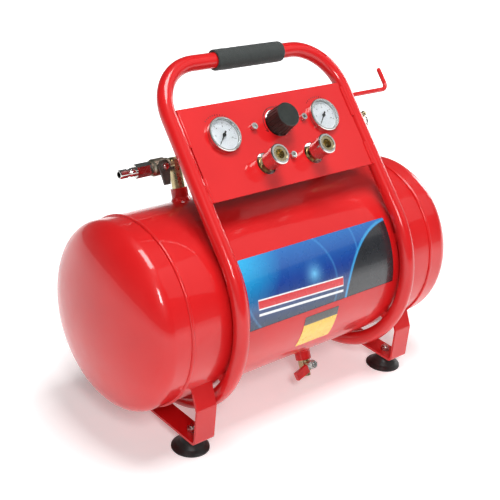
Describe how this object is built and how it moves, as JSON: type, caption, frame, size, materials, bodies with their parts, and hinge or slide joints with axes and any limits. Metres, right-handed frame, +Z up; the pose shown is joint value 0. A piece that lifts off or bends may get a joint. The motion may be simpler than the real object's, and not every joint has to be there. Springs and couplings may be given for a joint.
{
  "type": "air receiver tank",
  "caption": "Horizontal steel air receiver in a bent tube carry frame, with a sloping panel of gauges, regulator knob and quick couplers, valves, hose hook and suction feet.",
  "frame": {"origin": "on the floor, below the middle of the outline box; the tank axis is 9 mm behind it", "axes": "+X along the tank axis towards the hose hook, -Y the front with the panel and couplers, +Z up"},
  "size_m": [0.531, 0.2526, 0.4321],
  "materials": {
    "red_paint": "glossy red enamel",
    "black_foam": "matte closed-cell foam",
    "black_rubber": "matte rubber",
    "zinc_steel": "bright zinc plate",
    "cast_zinc": "fine cast surface",
    "black_plastic": "moulded satin",
    "spring_steel": "drawn wire",
    "chrome_plate": "polished plate",
    "brass": "machined, slightly dull",
    "nickel_brass": "nickel plated, dull",
    "dark_lever": "dark coated lever",
    "red_vinyl": "dipped vinyl",
    "white_dial": "printed white dial",
    "clear_lens": "clear lens",
    "black_pointer": "black paint",
    "seat_plastic": "white valve seat plastic"
  },
  "bodies": {
    "tank": {"bourdon_tubes": "brass", "carry_frame": "red_paint", "control_panel": "red_paint", "coupler_balls": "spring_steel", "coupler_left_body": "brass", "coupler_left_spring": "spring_steel", "coupler_right_body": "brass", "coupler_right_spring": "spring_steel", "drain_cock_body": "brass", "foam_grip": "black_foam", "foot_bracket_left": "red_paint", "foot_bracket_right": "red_paint", "foot_nuts": "zinc_steel", "foot_studs": "zinc_steel", "frame_pads": "red_paint", "gauge_left_case": "chrome_plate", "gauge_left_dial": "white_dial", "gauge_left_lens": "clear_lens", "gauge_pipe_left": "cast_zinc", "gauge_pipe_right": "cast_zinc", "gauge_right_case": "chrome_plate", "gauge_right_dial": "white_dial", "gauge_right_lens": "clear_lens", "hose_hook": "red_paint", "inlet_elbow": "brass", "inlet_plug": "chrome_plate", "inlet_valve_body": "nickel_brass", "manifold_block": "cast_zinc", "panel_screws": "zinc_steel", "regulator_bonnet": "black_plastic", "regulator_diaphragm": "black_rubber", "regulator_spring": "spring_steel", "riser_pipe": "zinc_steel", "rubber_feet": "black_rubber", "safety_valve_body": "brass", "safety_valve_spring": "spring_steel", "tank_bungs": "red_paint", "tank_head_left": "red_paint", "tank_head_right": "red_paint", "tank_shell": "red_paint", "valve_seats": "seat_plastic", "weld_beads": "red_paint"},
    "inlet_lever": {"inlet_lever": "dark_lever", "inlet_lever_nut": "zinc_steel", "inlet_valve_ball": "chrome_plate"},
    "drain_lever": {"drain_lever": "zinc_steel", "drain_lever_sleeve": "red_vinyl", "drain_lever_nut": "zinc_steel", "drain_cock_ball": "chrome_plate"},
    "regulator_spindle": {"regulator_spindle": "brass"},
    "regulator_knob": {"regulator_knob": "black_plastic"},
    "regulator_spring_seat": {"regulator_spring_seat": "brass"},
    "coupler_left_sleeve": {"coupler_left_sleeve": "chrome_plate"},
    "coupler_right_sleeve": {"coupler_right_sleeve": "chrome_plate"},
    "coupler_left_valve": {"coupler_left_valve": "brass"},
    "coupler_right_valve": {"coupler_right_valve": "brass"},
    "gauge_left_pointer": {"gauge_left_pointer": "black_pointer"},
    "gauge_right_pointer": {"gauge_right_pointer": "black_pointer"},
    "safety_valve_stem": {"safety_valve_stem": "brass"},
    "safety_pull_ring": {"safety_pull_ring": "spring_steel"}
  },
  "joints": [
    {"name": "inlet_lever_turn", "type": "hinge", "parent": "tank", "child": "inlet_lever", "pos_m": [-0.1305, 0.07049, 0.30071], "axis": [0, 0.9232, -0.3843], "range_deg": [0, 90]},
    {"name": "drain_lever_turn", "type": "hinge", "parent": "tank", "child": "drain_lever", "pos_m": [0.0397, -0.0502, 0.02945], "axis": [0, -0.9018, 0.4321], "range_deg": [0, 90]},
    {"name": "regulator_spindle_turn", "type": "hinge", "parent": "tank", "child": "regulator_spindle", "pos_m": [0.006, 0.00727, 0.35891], "axis": [0, 0.7349, -0.6782], "range_deg": [0, 1080]},
    {"name": "regulator_knob_lock", "type": "slide", "parent": "regulator_spindle", "child": "regulator_knob", "axis": [0, -0.7349, 0.6782], "range_m": [0, 0.003]},
    {"name": "regulator_spring_seat_slide", "type": "slide", "parent": "tank", "child": "regulator_spring_seat", "axis": [0, 0.7349, -0.6782], "range_m": [0, 0.003], "deforming": ["regulator_spring"]},
    {"name": "coupler_left_sleeve_slide", "type": "slide", "parent": "tank", "child": "coupler_left_sleeve", "axis": [0, 0.7349, -0.6782], "range_m": [0, 0.005], "stiffness_N_per_m": 1500, "springref_m": -0.002, "deforming": ["coupler_left_spring"]},
    {"name": "coupler_left_valve_slide", "type": "slide", "parent": "tank", "child": "coupler_left_valve", "axis": [0, 0.7349, -0.6782], "range_m": [0, 0.004], "stiffness_N_per_m": 600, "springref_m": -0.002},
    {"name": "coupler_right_sleeve_slide", "type": "slide", "parent": "tank", "child": "coupler_right_sleeve", "axis": [0, 0.7349, -0.6782], "range_m": [0, 0.005], "stiffness_N_per_m": 1500, "springref_m": -0.002, "deforming": ["coupler_right_spring"]},
    {"name": "coupler_right_valve_slide", "type": "slide", "parent": "tank", "child": "coupler_right_valve", "axis": [0, 0.7349, -0.6782], "range_m": [0, 0.004], "stiffness_N_per_m": 600, "springref_m": -0.002},
    {"name": "gauge_left_pointer_turn", "type": "hinge", "parent": "tank", "child": "gauge_left_pointer", "pos_m": [-0.081, 0.0095, 0.35278], "axis": [0, 0.7349, -0.6782], "range_deg": [0, 250], "stiffness_Nm_per_rad": 0.00005, "springref_deg": -11.46},
    {"name": "gauge_right_pointer_turn", "type": "hinge", "parent": "tank", "child": "gauge_right_pointer", "pos_m": [0.081, 0.0095, 0.35278], "axis": [0, 0.7349, -0.6782], "range_deg": [0, 250], "stiffness_Nm_per_rad": 0.00005, "springref_deg": -11.46},
    {"name": "safety_valve_lift", "type": "slide", "parent": "tank", "child": "safety_valve_stem", "axis": [1, 0, 0], "range_m": [0, 0.0025], "stiffness_N_per_m": 3000, "springref_m": -0.003, "deforming": ["safety_valve_spring"]},
    {"name": "safety_pull_ring_swing", "type": "hinge", "parent": "safety_valve_stem", "child": "safety_pull_ring", "pos_m": [0.179, 0.03022, 0.33365], "axis": [0, 1, 0], "range_deg": [-90, 50]}
  ],
  "couplings": [
    {"joint": "regulator_spring_seat_slide", "follows": "regulator_spindle_turn", "m_per_rad": 0.00015915}
  ]
}
